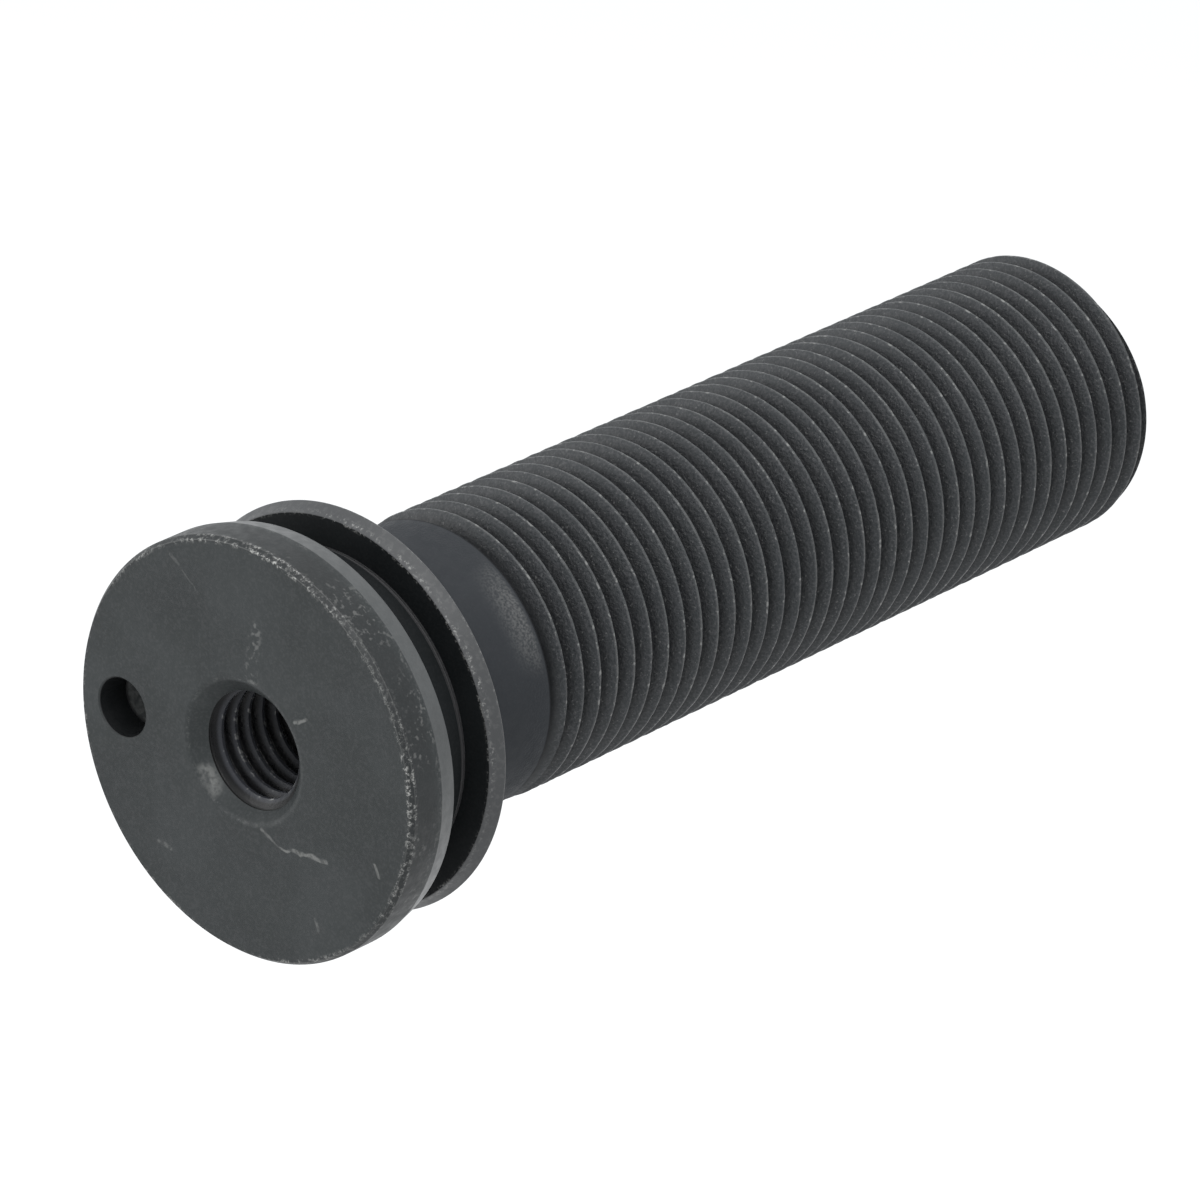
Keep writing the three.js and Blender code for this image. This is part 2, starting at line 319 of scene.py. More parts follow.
def threaded_rod(name, thread, low, high, columns, nicks=0.0):
    """A closed rod whose rows of vertices follow the helix, longer than the span from low to high.

    Past its last column a row goes on as the row one pitch higher.
    nicks is how deep the crests are dented."""
    profile = thread_profile(thread)
    per_pitch = len(profile)
    turns = math.ceil((high - low) / thread["pitch"]) + 4
    rows = turns * per_pitch
    base = low - 2 * thread["pitch"]
    vertices = []
    for row in range(rows + 1):
        share, radius = profile[row % per_pitch]
        for step in range(columns):
            angle = 2 * math.pi * step / columns
            height = base + (row // per_pitch + share + step / columns) * thread["pitch"]
            worn = radius
            on_crest = radius > thread["major"] - 0.1
            if nicks and on_crest:
                spot = Vector((radius * math.cos(angle), height, radius * math.sin(angle)))
                dent = smooth_noise.noise(spot * 1.7) + 0.5 * smooth_noise.noise(spot * 6.0)
                worn -= nicks * max(0.0, dent)
            x, z = thread["hand"] * worn * math.cos(angle), -worn * math.sin(angle)
            vertices.append((x * MM, FACE_Y + height * MM, z * MM))
    bottom, top = len(vertices), len(vertices) + 1
    vertices.append((0, FACE_Y + base * MM, 0))
    vertices.append((0, FACE_Y + (base + (turns + 1) * thread["pitch"]) * MM, 0))

    def at(row, step):
        if step == columns:
            return (row + per_pitch) * columns
        return row * columns + step

    last = rows - per_pitch
    faces = []
    for row in range(rows):
        for step in range(columns):
            if step == columns - 1 and row >= last:
                continue
            faces.append((at(row, step), at(row, step + 1), at(row + 1, step + 1), at(row + 1, step)))
    faces += [(bottom, at(0, step + 1), at(0, step)) for step in range(columns)]
    faces += [(top, at(rows, step), at(rows, step + 1)) for step in range(columns - 1)]
    faces.append((top, at(last, columns - 1), at(last, columns)))
    for row in range(per_pitch):
        faces.append((bottom, at(row, 0), at(row + 1, 0)))
        faces.append((top, at(last + row + 1, columns - 1), at(last + row, columns - 1)))
    return face_outward(mesh_object(name, vertices, faces))


def applied(thing):
    """Puts the result of thing's modifiers into its mesh."""
    bpy.context.view_layer.update()
    result = bpy.data.meshes.new_from_object(thing.evaluated_get(bpy.context.evaluated_depsgraph_get()))
    thing.modifiers.clear()
    thing.data = result
    return thing


def combine(base, other, operation):
    """base with other joined to it, cut from it or kept in common; other is used up."""
    modifier = base.modifiers.new("combine", "BOOLEAN")
    modifier.operation = operation
    modifier.solver = "MANIFOLD"
    modifier.object = other
    applied(base)
    bpy.data.objects.remove(other)
    return base


def smooth(thing, angle=28):
    """Smooth shading with crisp edges; the large flat faces keep flat normals."""
    mesh = thing.data
    mesh.polygons.foreach_set("use_smooth", [True] * len(mesh.polygons))
    mesh.set_sharp_from_angle(angle=math.radians(angle))
    modifier = thing.modifiers.new("normals", "WEIGHTED_NORMAL")
    modifier.keep_sharp = True
    return applied(thing)


# ---- Materials ----
class Graph:
    """Short calls for building a node material."""

    def __init__(self, name):
        self.material = bpy.data.materials.new(name)
        self.material.use_nodes = True
        self.tree = self.material.node_tree
        self.shader = self.tree.nodes["Principled BSDF"]
        self.object_space = self.add("ShaderNodeTexCoord").outputs["Object"]

    def add(self, kind, **settings):
        node = self.tree.nodes.new(kind)
        for key, value in settings.items():
            setattr(node, key, value)
        return node

    def feed(self, socket, value):
        if isinstance(value, bpy.types.NodeSocket):
            self.tree.links.new(value, socket)
        else:
            socket.default_value = value

    def math(self, operation, a, b=0.0, c=0.0):
        node = self.add("ShaderNodeMath", operation=operation)
        for socket, value in zip(node.inputs, (a, b, c)):
            self.feed(socket, value)
        return node.outputs[0]

    def product(self, *values):
        total = values[0]
        for value in values[1:]:
            total = self.math("MULTIPLY", total, value)
        return total

    def largest(self, *values):
        total = values[0]
        for value in values[1:]:
            total = self.math("MAXIMUM", total, value)
        return total

    def ramp(self, value, low, high, out_low=0.0, out_high=1.0):
        node = self.add("ShaderNodeMapRange", interpolation_type="SMOOTHSTEP")
        entries = {"Value": value, "From Min": low, "From Max": high, "To Min": out_low, "To Max": out_high}
        for key, entry in entries.items():
            self.feed(node.inputs[key], entry)
        return node.outputs["Result"]

    def noise(self, per_mm, detail=3.0, shift=0.0, stretch=(1, 1, 1)):
        scaled = self.add("ShaderNodeVectorMath", operation="MULTIPLY_ADD")
        self.feed(scaled.inputs[0], self.object_space)
        scaled.inputs[1].default_value = tuple(s / MM for s in stretch)
        scaled.inputs[2].default_value = (shift, shift, shift)
        node = self.add("ShaderNodeTexNoise")
        self.feed(node.inputs["Vector"], scaled.outputs[0])
        node.inputs["Scale"].default_value = per_mm
        node.inputs["Detail"].default_value = detail
        return node.outputs["Fac"]

    def mix(self, share, a, b):
        node = self.add("ShaderNodeMix", data_type="RGBA")
        self.feed(node.inputs["Factor"], share)
        self.feed(node.inputs["A"], a)
        self.feed(node.inputs["B"], b)
        return node.outputs["Result"]

    def bump(self, height, distance):
        node = self.add("ShaderNodeBump")
        node.inputs["Strength"].default_value = 1.0
        node.inputs["Distance"].default_value = distance * MM
        self.feed(node.inputs["Height"], height)
        self.feed(self.shader.inputs["Normal"], node.outputs["Normal"])

    def in_mm(self):
        """x, height behind the thrust face and z, in millimetres."""
        parts = self.add("ShaderNodeSeparateXYZ")
        self.feed(parts.inputs[0], self.object_space)
        x, y, z = (self.math("MULTIPLY", value, 1 / MM) for value in parts.outputs)
        return x, self.math("SUBTRACT", y, FACE_Y / MM), z

    def length(self, *parts):
        total = 0.0
        for part in parts:
            total = self.math("MULTIPLY_ADD", part, part, total)
        return self.math("SQRT", total)

    def ring(self, radius, height, circle, width):
        """1 on the circle (radius, height), falling to 0 at the distance width from it."""
        gap = self.length(self.math("SUBTRACT", radius, circle[0]), self.math("SUBTRACT", height, circle[1]))
        return self.ramp(gap, 0.0, width, 1.0, 0.0)

    def stroke(self, x, z, start, end, width):
        """1 on the straight line from start to end in the plane of the thrust face, fading to 0 at width."""
        along = (end[0] - start[0], end[1] - start[1])
        square = along[0] ** 2 + along[1] ** 2
        dx, dz = self.math("SUBTRACT", x, start[0]), self.math("SUBTRACT", z, start[1])
        across = self.math("MULTIPLY", dz, along[1] / square)
        share = self.math("MULTIPLY_ADD", dx, along[0] / square, across)
        share = self.math("MINIMUM", self.math("MAXIMUM", share, 0.0), 1.0)
        off_x = self.math("MULTIPLY_ADD", share, -along[0], dx)
        off_z = self.math("MULTIPLY_ADD", share, -along[1], dz)
        return self.ramp(self.length(off_x, off_z), 0.3 * width, width, 1.0, 0.0)


BLACK_DEEP = (0.0095, 0.0122, 0.0126, 1)
BLACK_SOFT = (0.0155, 0.0188, 0.0195, 1)
BLACK_DUSTY = (0.0380, 0.0395, 0.0410, 1)
BLACK_COOL = (0.0270, 0.0285, 0.0330, 1)
# Black for painted shade: in the pin hole, thread roots, grooves and the neck crease, and on the front of the
# rim.
BLACK_PAINTED_SHADE = (0.0030, 0.0032, 0.0038, 1)
BARE_STEEL_AND_HIGHLIGHT = (0.280, 0.280, 0.270, 1)
EDGE_HIGHLIGHT_WIDTH = 0.075
ROUGHNESS_SPREAD = 0.06
WORN_METALLIC = 0.6


def black_coat(g, grain):
    """Colour of the blackened surface: two slow tones under a fine pale speckle. grain is its strength."""
    slow = g.mix(g.ramp(g.noise(0.13, 4.0), 0.35, 0.7), BLACK_DEEP, BLACK_SOFT)
    speckle = g.ramp(g.noise(4.5, 2.0, shift=7.0), 0.42, 0.72)
    return g.mix(g.product(speckle, grain), slow, BLACK_DUSTY)


def worn_edges_and_highlights(g, radius, height, edges):
    """Where turned edges have lost their coat, with a painted highlight along each. An edge is (radius,
    height, width, line, chips).

    line is the strength of a thin unbroken painted highlight along the edge, chips that of the ragged worn
    spots on it."""
    stretches = g.ramp(g.noise(0.14, 2.0, shift=3.0), 0.40, 0.60, 0.3, 1.0)
    ragged = g.ramp(g.noise(2.9, 8.0, shift=11.0), 0.48, 0.58)
    crumbs = g.ramp(g.noise(7.5, 3.0, shift=13.0), 0.42, 0.58, 0.1, 1.0)
    chipped = g.product(ragged, crumbs, stretches)
    total = []
    for r, y, width, line, chips in edges:
        near = g.ring(radius, height, (r, y), width)
        highlight_line = g.ring(radius, height, (r, y), EDGE_HIGHLIGHT_WIDTH)
        # Worn chips, and a thin painted highlight line in the same bare-steel colour.
        total += [g.product(near, chips, chipped), g.product(highlight_line, line)]
    return g.largest(*total)


def finish_black(g, coat, worn, relief, distance, shine=0.29, dull=0.5):
    """Joins coat and wear on the shader; worn also carries the painted highlights, in the same bare-steel
    colour. shine is the specular level, dull the middle of the roughness.
    """
    g.feed(g.shader.inputs["Base Color"], g.mix(worn, coat, BARE_STEEL_AND_HIGHLIGHT))
    g.feed(g.shader.inputs["Metallic"], g.math("MULTIPLY", worn, WORN_METALLIC))
    low, high = dull - ROUGHNESS_SPREAD, dull + ROUGHNESS_SPREAD
    g.feed(g.shader.inputs["Roughness"], g.ramp(g.noise(1.1, 4.0, shift=5.0), 0.3, 0.7, low, high))
    g.shader.inputs["Specular IOR Level"].default_value = shine
    g.bump(relief, distance)
    return g.material


def face_scratches(g, x, z):
    """Thin strokes on the thrust face, each (start, end, width, strength), bent a little by slow noise."""
    strokes = [
        ((1.7, -6.0), (3.4, -6.9), 0.20, 0.22),
        ((3.4, -6.9), (5.6, -6.7), 0.18, 0.34),
        ((5.6, -6.7), (8.3, -6.3), 0.22, 0.34),
        ((5.3, 4.1), (6.5, 4.5), 0.22, 0.34),
        ((-9.0, -9.9), (-7.8, -10.4), 0.30, 0.16),
        ((13.2, -5.2), (13.6, -6.2), 0.20, 0.28),
        ((7.1, -11.8), (7.4, -12.6), 0.20, 0.18),
        ((-7.2, 14.2), (-4.6, 12.0), 0.15, 0.10),
    ]
    bend = g.math("MULTIPLY_ADD", g.noise(0.55, 2.0, shift=31.0), 1.6, -0.8)
    bent = g.math("ADD", z, bend)
    thin = g.ramp(g.noise(2.4, 5.0, shift=2.0), 0.36, 0.6, 0.2, 1.0)
    lines = []
    for start, end, width, strength in strokes:
        lines.append(g.product(g.stroke(x, bent, start, end, width), strength))
    specks = g.ramp(g.noise(2.2, 6.0, shift=17.0), 0.5, 0.64)
    scuff = g.product(g.stroke(x, bent, (1.5, 10.4), (0.9, 6.4), 0.9), specks, 0.2)
    return g.largest(g.product(g.largest(*lines), thin), scuff)


def head_black():
    """The head's face and rim: chipped edges with a painted highlight line, scratches, a polished spot in the
    chamfer, and painted shade in the pin hole and on the front of the rim.
    """
    g = Graph("black_head")
    x, height, z = g.in_mm()
    radius = g.length(x, z)
    coat = black_coat(g, 0.3)
    # Painted shade: the pin hole's wall is darkened.
    from_pin = g.length(g.math("ADD", x, PIN_HOLE_OFFSET), z)
    wall_inside = g.ramp(from_pin, PIN_HOLE_R - 0.3, PIN_HOLE_R - 0.1)
    wall_outside = g.ramp(from_pin, PIN_HOLE_R, PIN_HOLE_R + 0.1, 1.0, 0.0)
    coat = g.mix(g.product(wall_inside, wall_outside, 0.8), coat, BLACK_PAINTED_SHADE)
    deep = g.ramp(height, PIN_HOLE_DEPTH - 0.4, PIN_HOLE_DEPTH - 0.1)
    pin_floor = g.product(deep, g.ramp(from_pin, PIN_HOLE_R, PIN_HOLE_R - 0.3))
    # Painted shade: the front part of the rim, to about 3.4 mm behind the face, is darkened.
    on_rim = g.ramp(radius, HEAD_R - 0.6, HEAD_R - 0.1)
    coat = g.mix(g.product(on_rim, g.ramp(height, 2.2, 3.4, 0.4, 0.0)), coat, BLACK_PAINTED_SHADE)
    edges = [
        (FACE_R, 0.0, 0.36, 0.14, 1.0),
        (HEAD_R, FACE_CHAMFER, 0.28, 0.10, 0.7),
        (HEAD_R, RIM_STRAIGHT_END, 0.6, 0.02, 0.12),
        (TAP_CHAMFER_R, 0.0, 0.26, 0.02, 0.28),
    ]
    # Edge wear and the painted edge highlight, stronger towards the upper right.
    upper_right = g.math("MULTIPLY_ADD", x, 0.5, g.math("MULTIPLY", z, 0.87))
    worn = g.product(worn_edges_and_highlights(g, radius, height, edges), g.ramp(upper_right, 0.0, 14.0, 0.55, 1.2))
    on_face = g.ramp(height, 0.0, 0.1, 1.0, 0.0)
    marks = g.product(face_scratches(g, x, z), on_face)
    near_chamfer = g.ramp(radius, TAP_CHAMFER_R + 0.4, TAP_CHAMFER_R - 0.6)
    in_mouth = g.product(near_chamfer, g.ramp(height, 1.2, 1.0))
    mottle = g.ramp(g.noise(1.9, 6.0, shift=1.0), 0.36, 0.6, 0.2, 1.0)
    polished = g.product(g.stroke(x, z, (-4.5, -3.1), (-3.6, -4.3), 0.9), in_mouth, mottle, 0.3)
    sparse = g.ramp(g.noise(0.15, 1.0, shift=21.0), 0.42, 0.6)
    rim_marks = g.product(g.ramp(g.noise(2.1, 8.0, shift=9.0), 0.55, 0.66), sparse, on_rim, 0.2)
    worn = g.largest(worn, marks, polished, rim_marks, g.product(pin_floor, mottle, 0.14))
    relief = g.math("ADD", g.noise(5.0, 4.0), g.math("MULTIPLY", g.noise(1.0, 4.0), 0.8))
    return finish_black(g, coat, worn, relief, 0.008)


def bevel_black():
    """The smooth bevel behind the rim, shinier than the rest of the head."""
    g = Graph("black_bevel")
    x, height, z = g.in_mm()
    worn = worn_edges_and_highlights(g, g.length(x, z), height, [(RIM_BACK_R, RIM_BACK, 0.2, 0.15, 0.2)])
    return finish_black(g, black_coat(g, 0.3), worn, g.noise(5.0, 4.0), 0.006, shine=0.68, dull=0.4)


def tap_black():
    """The tapped hole: painted shade in the thread roots, painted glints at the crests and a faint painted
    highlight at the mouth.
    """
    g = Graph("black_tapped_hole")
    x, height, z = g.in_mm()
    radius = g.length(x, z)
    crest = TAP["minor"]
    # Painted shade: the thread roots go black, the crests keep a cool dark grey.
    coat = g.mix(g.ramp(radius, crest + 0.12, crest + 0.4), BLACK_COOL, BLACK_PAINTED_SHADE)
    specks = g.ramp(g.noise(1.6, 6.0, shift=19.0), 0.55, 0.68)
    # Painted glints: bare-steel specks along the crests.
    painted_glints = g.product(g.ramp(radius, crest + 0.14, crest + 0.04), specks, 0.4)
    # Painted highlight: a faint bare-steel band at the mouth of the thread.
    mouth = g.product(g.ramp(height, 1.7, 1.4), 0.05)
    return finish_black(g, coat, g.largest(painted_glints, mouth), g.noise(3.0, 4.0), 0.03, shine=0.14, dull=0.3)


def shaded_black():
    """Surfaces deep in the grooves, darkened by painted shade, with their own turned edges; the hub's end
    edge carries a painted highlight line.
    """
    g = Graph("black_groove")
    x, height, z = g.in_mm()
    edges = [(HUB_R, HUB_END, 0.07, 0.30, 0.4), (FLANGE_FRONT_R, FLANGE_Y, 0.3, 0.02, 0.8)]
    worn = worn_edges_and_highlights(g, g.length(x, z), height, edges)
    # Painted shade over most of the coat.
    coat = g.mix(0.65, black_coat(g, 0.3), BLACK_PAINTED_SHADE)
    return finish_black(g, coat, worn, g.noise(5.0, 4.0), 0.008, shine=0.1, dull=0.6)


def neck_black():
    """The turned neck: plain and dull, with a pale grainy patch where it meets the thread, partly worn coat
    and partly a painted highlight, and a painted shade line in the crease at the thread.
    """
    g = Graph("black_neck")
    x, height, z = g.in_mm()
    coat = g.mix(0.6, black_coat(g, 0.2), BLACK_COOL)
    # The pale grainy patch on the upper +X side: partly worn coat, partly a painted highlight.
    side = g.math("MULTIPLY_ADD", x, 0.79, g.math("MULTIPLY", z, 0.61))
    band = g.ramp(height, NECK_END - 3.2, NECK_END - 1.1)
    band = g.product(band, g.ramp(height, NECK_END - 0.1, NECK_END - 0.6))
    sand = g.ramp(g.noise(5.0, 3.0, shift=8.0), 0.34, 0.68, 0.2, 1.0)
    rub_and_highlight = g.product(band, g.ramp(side, 10.2, 11.6), sand, 0.22)
    edges = [(FLANGE_R, FLANGE_EDGE_Y, 0.32, 0.22, 0.75)]
    flange_edge = worn_edges_and_highlights(g, g.length(x, z), height, edges)
    # Painted shade: a thin dark line in the crease where the neck meets the thread.
    end_shade_line = g.product(g.ramp(height, NECK_END - 0.16, NECK_END - 0.04), 0.8)
    coat = g.mix(end_shade_line, coat, BLACK_PAINTED_SHADE)
    relief = g.math("MULTIPLY_ADD", g.product(sand, band), 2.0, g.noise(5.0, 4.0))
    return finish_black(g, coat, g.largest(rub_and_highlight, flange_edge), relief, 0.012, shine=0.1, dull=0.6)


def spindle_black():
    """Flange rim and thread: pitted flanks, painted shade in the roots, worn crests with a faint painted
    highlight, and painted glints on the flanks.
    """
    g = Graph("black_thread")
    x, height, z = g.in_mm()
    radius = g.length(x, z)
    on_thread = g.ramp(height, NECK_END + 0.9, NECK_END + 1.5)
    pits = g.ramp(g.noise(3.6, 3.0, shift=1.0), 0.32, 0.70)
    grain = g.math("MULTIPLY_ADD", on_thread, 0.85, 0.25)
    coat = g.mix(0.35, black_coat(g, grain), BLACK_COOL)
    minor = SCREW["minor"]
    behind_neck = g.ramp(height, NECK_END, NECK_END + 0.1)
    # Painted shade: the thread roots darken towards black.
    root_shade = g.product(g.ramp(radius, minor + 0.3, minor + 1.15, 0.72, 0.0), behind_neck)
    coat = g.mix(root_shade, coat, BLACK_PAINTED_SHADE)
    edges = [
        (FLANGE_FRONT_R + 0.15, FLANGE_Y + 0.25, 0.36, 0.0, 0.6),
        (FLANGE_R, FLANGE_EDGE_Y, 0.2, 0.3, 0.5),
        (SCREW["major"] - END_CHAMFER, LENGTH, 0.3, 0.15, 0.5),
    ]
    worn = worn_edges_and_highlights(g, radius, height, edges)
    on_bevel = g.ramp(height, FLANGE_BACK + 0.4, FLANGE_BACK + 0.1)
    coat = g.mix(g.product(on_bevel, 0.95), coat, BLACK_DUSTY)
    bevel_dust = g.product(g.ramp(g.noise(2.6, 7.0, shift=27.0), 0.50, 0.66), on_bevel, 0.05)
    # Crests: worn beads and a faint painted highlight line.
    crest_wear_and_highlight = g.product(g.ramp(radius, SCREW["major"] - 0.09, SCREW["major"] - 0.02), on_thread)
    faint_highlight = g.ramp(g.noise(0.3, 3.0, shift=4.0), 0.38, 0.65, 0.12, 0.45)
    beads = g.product(g.ramp(g.noise(2.2, 7.0, shift=6.0), 0.56, 0.68), 1.8)
    crest_wear_and_highlight = g.product(crest_wear_and_highlight, g.math("ADD", faint_highlight, beads), 0.22)
    # Painted glints: small bright specks on the flanks.
    painted_glints = g.product(g.ramp(g.noise(5.2, 2.0, shift=33.0), 0.63, 0.72), on_thread, 0.16)
    worn = g.largest(worn, crest_wear_and_highlight, bevel_dust, painted_glints)
    relief = g.math("MULTIPLY_ADD", g.product(pits, on_thread), 1.4, g.noise(5.0, 4.0))
    return finish_black(g, coat, worn, relief, 0.014, dull=0.46)


def insert_black():
    g = Graph("black_insert")
    x, height, z = g.in_mm()
    hexagon_mouth_r = 6.0
    edges = [(INSERT_R, INSERT_END, 0.3, 0.1, 0.4), (hexagon_mouth_r, INSERT_END, 0.4, 0.1, 0.5)]
    worn = worn_edges_and_highlights(g, g.length(x, z), height, edges)
    return finish_black(g, black_coat(g, 0.4), worn, g.noise(5.0, 4.0), 0.01)


def ground_steel():
    g = Graph("ground_steel")
    lay = g.noise(3.0, 3.0, stretch=(1, 12, 1))
    tone = g.mix(g.ramp(lay, 0.3, 0.7), (0.55, 0.56, 0.58, 1), (0.68, 0.69, 0.70, 1))
    g.feed(g.shader.inputs["Base Color"], tone)
    g.shader.inputs["Metallic"].default_value = 1.0
    g.feed(g.shader.inputs["Roughness"], g.ramp(lay, 0.2, 0.8, 0.12, 0.24))
    return g.material


def bronze(name, tone):
    g = Graph(name)
    mottle = g.noise(1.2, 5.0)
    dark = tuple(0.7 * c for c in tone) + (1,)
    g.feed(g.shader.inputs["Base Color"], g.mix(g.ramp(mottle, 0.3, 0.7), dark, tone + (1,)))
    g.shader.inputs["Metallic"].default_value = 1.0
    g.feed(g.shader.inputs["Roughness"], g.ramp(mottle, 0.2, 0.8, 0.28, 0.45))
    g.bump(g.noise(4.0, 2.0, stretch=(1, 8, 1)), 0.01)
    return g.material


def spring_steel():
    g = Graph("spring_steel")
    fine = g.noise(4.0, 4.0)
    tone = g.mix(g.ramp(fine, 0.3, 0.7), (0.07, 0.074, 0.08, 1), (0.13, 0.135, 0.14, 1))
    g.feed(g.shader.inputs["Base Color"], tone)
    g.shader.inputs["Metallic"].default_value = 0.9
    g.feed(g.shader.inputs["Roughness"], g.ramp(fine, 0.2, 0.8, 0.3, 0.45))
    g.bump(fine, 0.008)
    return g.material


def seal_rubber():
    g = Graph("seal_rubber")
    fine = g.noise(3.0, 5.0)
    tone = g.mix(g.ramp(fine, 0.3, 0.7), (0.008, 0.008, 0.009, 1), (0.015, 0.015, 0.016, 1))
    g.feed(g.shader.inputs["Base Color"], tone)
    g.feed(g.shader.inputs["Roughness"], g.ramp(fine, 0.2, 0.8, 0.6, 0.8))
    g.bump(fine, 0.015)
    return g.material


# ---- Spindle ----
def neck_curve(steps=24):
    """(radius, height) points of the concave neck, a cubic curve from the flange to the thread."""
    start, end = Vector((NECK_START_R, NECK_START)), Vector((NECK_END_R, NECK_END))
    pull = start + Vector((-NECK_SWEEP_IN, NECK_SWEEP_BACK))
    push = end - Vector((NECK_WAIST_IN, NECK_WAIST_FRONT))
    points = []
    for k in range(steps + 1):
        t = k / steps
        p = start * (1 - t) ** 3 + pull * 3 * t * (1 - t) ** 2 + push * 3 * t * t * (1 - t) + end * t ** 3
        points.append(tuple(p))
    return points


def make_spindle():
    """Flange and neck, joined to the threaded shank and bored through. The bore ends in a chamfer."""
    counterbore = RACE_OUTER_R + SIDE_GAP
    front = [
        (0, BEARING_Y), (counterbore, BEARING_Y), (counterbore, FLANGE_Y), (FLANGE_FRONT_R, FLANGE_Y, 0.15),
        (FLANGE_R, FLANGE_EDGE_Y, EDGE), (FLANGE_R - FLANGE_BACK_STEP, FLANGE_BACK, 0.1),
        (NECK_START_R, NECK_START),
    ]
    core_end = NECK_END + RUN_OUT / 2
    core = [(SCREW["minor"] - 0.1, core_end), (0, core_end)]
    spindle = turned("spindle_body", rounded(front) + neck_curve()[1:] + core)
    outside = SCREW["major"] + THREAD_CLEARANCE
    end_r = SCREW["major"] - END_CHAMFER
    envelope = turned("envelope", [
        (0, NECK_END), (SCREW["minor"], NECK_END), (outside, NECK_END + RUN_OUT),
        (outside, LENGTH - END_CHAMFER - THREAD_CLEARANCE), (end_r, LENGTH), (0, LENGTH)])
    shank = threaded_rod("shank", SCREW, THREAD_BASE, LENGTH, COLUMNS, THREAD_NICKS)
    combine(shank, envelope, "INTERSECT")
    combine(spindle, shank, "UNION")
    bush_seat, past = BUSH_R + PRESS_GAP, LENGTH + 1
    bore = turned("bore", [
        (0, BEARING_Y - 1), (bush_seat, BEARING_Y - 1), (bush_seat, RIB_Y), (RIB_R, RIB_Y), (RIB_R, RIB_END),
        (BORE_R, RIB_END), (BORE_R, SOCKET_SEAT_Y), (SOCKET_SEAT_R, SOCKET_SEAT_Y),
        (SOCKET_SEAT_R, INSERT_END), (SOCKET_SEAT_R + INSERT_SETBACK + 1, past), (0, past)])
    combine(spindle, bore, "DIFFERENCE")
    return smooth(spindle)


def make_insert():
    """A cylinder with a hexagonal hole, countersunk at 60 degrees to the axis."""
    low, past = SOCKET_SEAT_Y + SIDE_GAP, INSERT_END + 1
    insert = turned("hex_insert", rounded([
        (0, low), (INSERT_R, low, INSERT_EDGE), (INSERT_R, INSERT_END, INSERT_EDGE), (0, INSERT_END)]))
    corner_r = HEX_ACROSS_FLATS / 2 / math.cos(math.pi / 6)
    hexagon = turned("hexagon", [(0, low - 1), (corner_r, low - 1), (corner_r, past), (0, past)], 6)
    mouth_r = corner_r + HEX_LEAD_IN
    slope, deep = 1.73, 0.9
    lead_in = turned("lead_in", [
        (0, INSERT_END - 3), (mouth_r - slope * deep, INSERT_END - deep), (mouth_r + slope, past), (0, past),
    ], FINE_COLUMNS)
    combine(insert, hexagon, "DIFFERENCE")
    combine(insert, lead_in, "DIFFERENCE")
    return smooth(insert)


# ---- Head ----
def make_head():
    """Disc, hub and stem turned in one, with the tapped hole and the pin hole cut out."""
    blank = turned("head_body", rounded([
        (0, 0), (FACE_R, 0, 0.1), (HEAD_R, FACE_CHAMFER, 0.15), (HEAD_R, RIM_STRAIGHT_END, 0.5),
        (RIM_BACK_R, RIM_BACK, 0.15), (HUB_R, RIM_BACK, 0.3), (HUB_R, HUB_END, 0.06),
        (SKIRT_INNER_R, HUB_END), (SKIRT_INNER_R, SEAT_Y), (STEM_R, SEAT_Y, 0.2), (STEM_R, GROOVE_Y),
        (GROOVE_R, GROOVE_Y), (GROOVE_R, GROOVE_Y + GROOVE_WIDTH), (STEM_R, GROOVE_Y + GROOVE_WIDTH),
        (STEM_R, STEM_END, 0.3), (0, STEM_END)]))
    clear_r, skim = TAP_CHAMFER_R + 1.4, 0.01
    mouth = rounded([
        (0, -1), (clear_r, -1), (clear_r, -skim), (TAP_CHAMFER_R + 0.6, 0),
        (TAP_CHAMFER_R, 0, TAP_CHAMFER_FILLET), (TAP["minor"], TAP_CHAMFER_R - TAP["minor"]),
        (TAP["minor"], DRILL_DEPTH), (0, DRILL_DEPTH + DRILL_POINT)])
    drill = turned("drill", mouth, FINE_COLUMNS)
    tap = threaded_rod("tap", TAP, 0, TAP_DEPTH, FINE_COLUMNS)
    sleeve_r, sleeve_low = TAP["major"] + 1, 0.2
    sleeve = turned("sleeve", [
        (0, sleeve_low), (sleeve_r, sleeve_low), (sleeve_r, TAP_DEPTH), (0, TAP_DEPTH)], FINE_COLUMNS)
    combine(tap, sleeve, "INTERSECT")
    combine(tap, drill, "UNION")
    combine(blank, tap, "DIFFERENCE")
    broken_r = PIN_HOLE_R + 0.15
    pin = turned("pin", [
        (0, -1), (broken_r, -1), (broken_r, -skim), (PIN_HOLE_R, EDGE), (PIN_HOLE_R, PIN_HOLE_DEPTH),
        (0, PIN_HOLE_DEPTH + PIN_HOLE_POINT)], FINE_COLUMNS)
    pin.data.transform(Matrix.Translation((-PIN_HOLE_OFFSET * MM, 0, 0)))
    combine(blank, pin, "DIFFERENCE")
    return smooth(blank)


